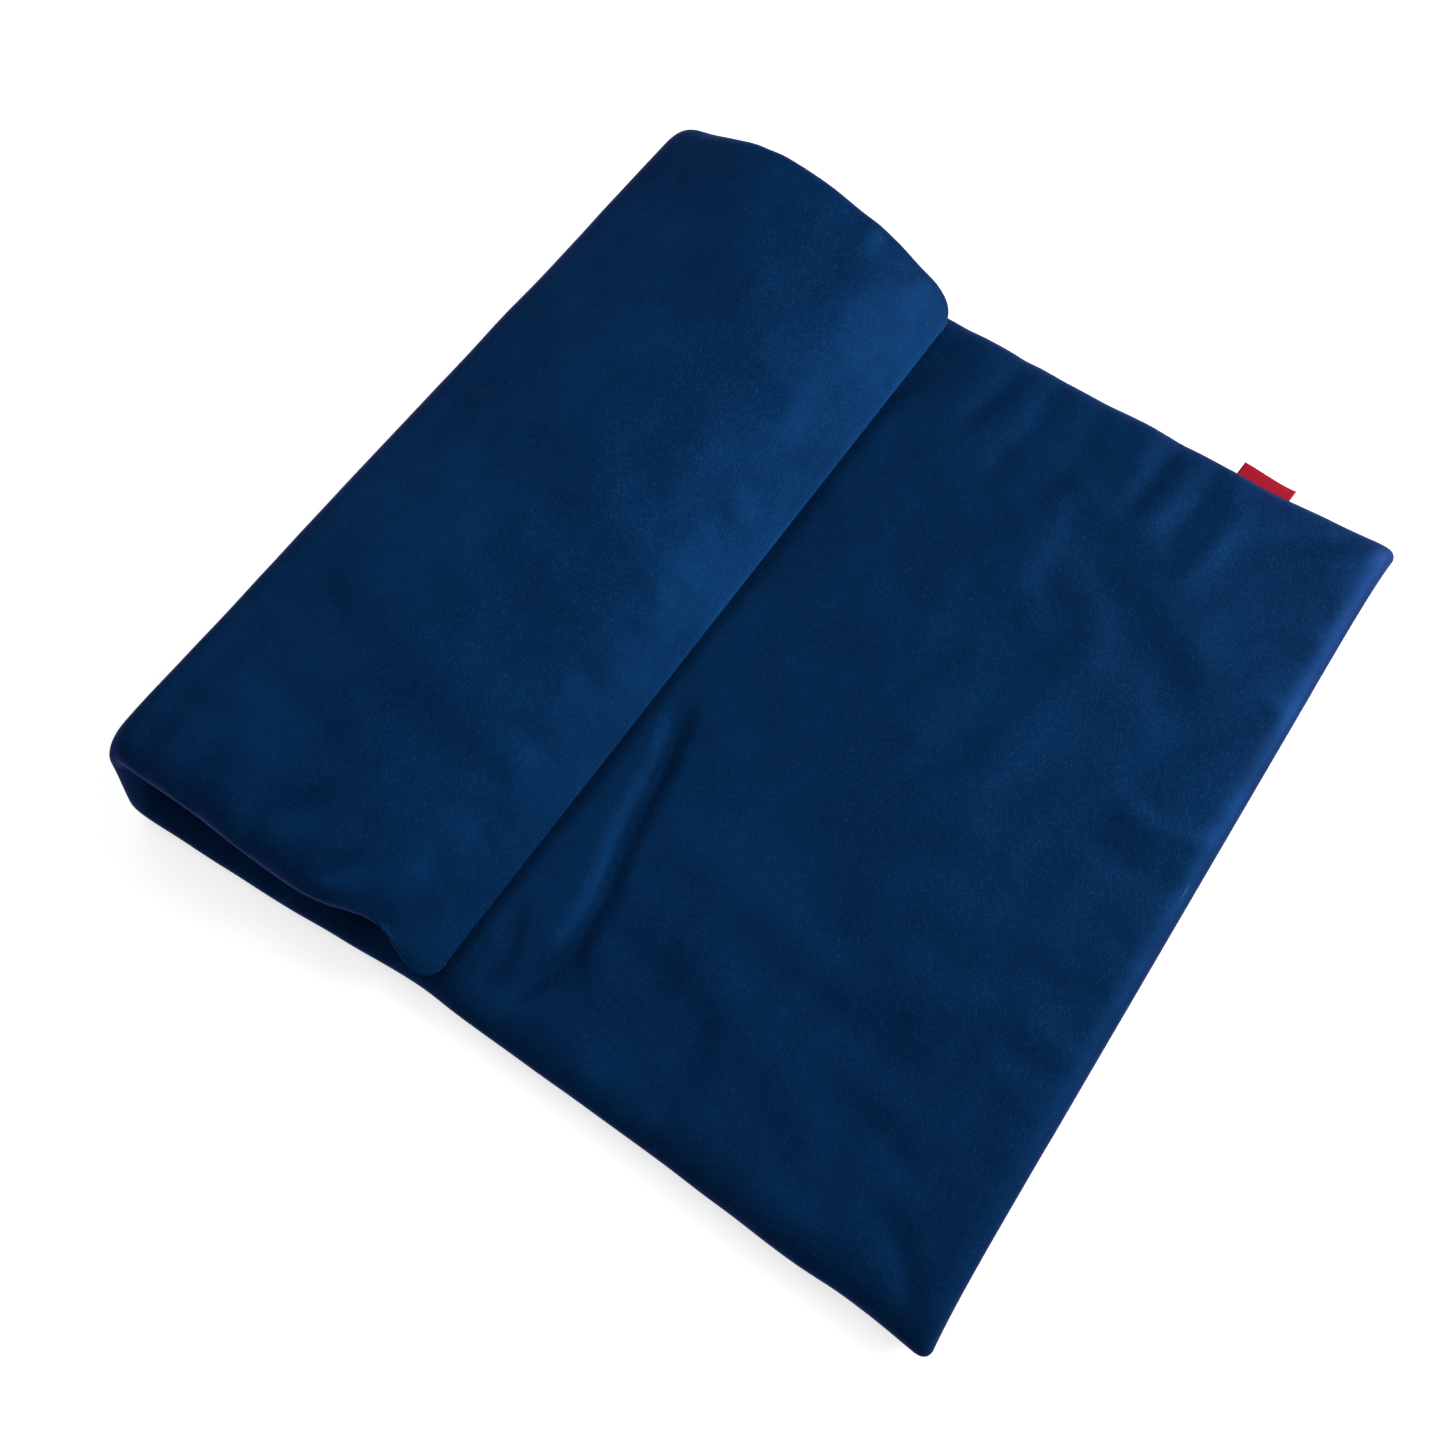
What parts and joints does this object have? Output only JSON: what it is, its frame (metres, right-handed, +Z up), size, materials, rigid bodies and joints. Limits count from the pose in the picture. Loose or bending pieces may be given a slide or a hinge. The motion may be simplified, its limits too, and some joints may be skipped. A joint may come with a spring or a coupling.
{
  "type": "futon mattress",
  "caption": "Thin square floor mattress in a dark blue sewn cover, one end folded over on itself, with a small side label and a hidden zip in the flat end's seam.",
  "frame": {"origin": "middle of the folded mattress's footprint, on the surface that it lies on", "axes": "+Z up; +X towards the flat end, with the fold at -X; +Y towards the long edge that carries the label"},
  "size_m": [0.669, 0.74, 0.1],
  "materials": {
    "cover_cloth": "brushed satin cotton, soft sheen, fine nap",
    "ticking_cloth": "unbleached calico, matt",
    "cotton_batting": "loose cotton felt, matt",
    "firm_core": "needled felt, matt",
    "label_ribbon": "woven satin ribbon",
    "zip_cloth": "herringbone tape, matt",
    "zip_nylon": "extruded nylon coil",
    "zip_metal": "die-cast, satin"
  },
  "bodies": {
    "lying_half": {"cover_outer_lying_half": "cover_cloth", "cover_inner_lying_half": "cover_cloth", "ticking_lying_half": "ticking_cloth", "batting_outer_lying_half": "cotton_batting", "core_lying_half": "firm_core", "batting_inner_lying_half": "cotton_batting", "side_label": "label_ribbon", "zip_tape_lower": "zip_cloth", "zip_tape_upper": "zip_cloth", "zip_coil_lower": "zip_nylon", "zip_coil_upper": "zip_nylon", "zip_stop_near": "zip_metal", "zip_stop_far": "zip_metal"},
    "riser": {"cover_outer_riser": "cover_cloth", "cover_inner_riser": "cover_cloth", "ticking_riser": "ticking_cloth", "batting_outer_riser": "cotton_batting", "core_riser": "firm_core", "batting_inner_riser": "cotton_batting"},
    "flap_back": {"cover_outer_flap_back": "cover_cloth", "cover_inner_flap_back": "cover_cloth", "ticking_flap_back": "ticking_cloth", "batting_outer_flap_back": "cotton_batting", "core_flap_back": "firm_core", "batting_inner_flap_back": "cotton_batting"},
    "flap_front": {"cover_outer_flap_front": "cover_cloth", "cover_inner_flap_front": "cover_cloth", "ticking_flap_front": "ticking_cloth", "batting_outer_flap_front": "cotton_batting", "core_flap_front": "firm_core", "batting_inner_flap_front": "cotton_batting"},
    "zip_slider": {"zip_slider": "zip_metal"},
    "zip_pull": {"zip_pull": "zip_metal"}
  },
  "joints": [
    {"name": "fold", "type": "hinge", "parent": "lying_half", "child": "riser", "pos_m": [-0.3345, 0.005, 0], "axis": [0, -1, 0], "range_deg": [0, 90]},
    {"name": "flap_lift", "type": "hinge", "parent": "riser", "child": "flap_back", "pos_m": [-0.3345, 0.005, 0.0875], "axis": [0, -1, 0], "range_deg": [0, 83]},
    {"name": "flap_unbend", "type": "hinge", "parent": "flap_back", "child": "flap_front", "pos_m": [-0.2345, 0.005, 0.1], "axis": [0, -1, 0], "range_deg": [0, 23.2]},
    {"name": "zip_slide", "type": "slide", "parent": "lying_half", "child": "zip_slider", "axis": [0, -1, 0], "range_m": [0, 0.344]},
    {"name": "zip_pull_hinge", "type": "hinge", "parent": "zip_slider", "child": "zip_pull", "pos_m": [0.3336, 0.1771, 0.015], "axis": [0, 0, -1], "range_deg": [0, 170]}
  ],
  "couplings": [
    {"joint": "flap_lift", "follows": "fold", "ratio": 0.9208},
    {"joint": "flap_unbend", "follows": "fold", "ratio": 0.2562}
  ]
}
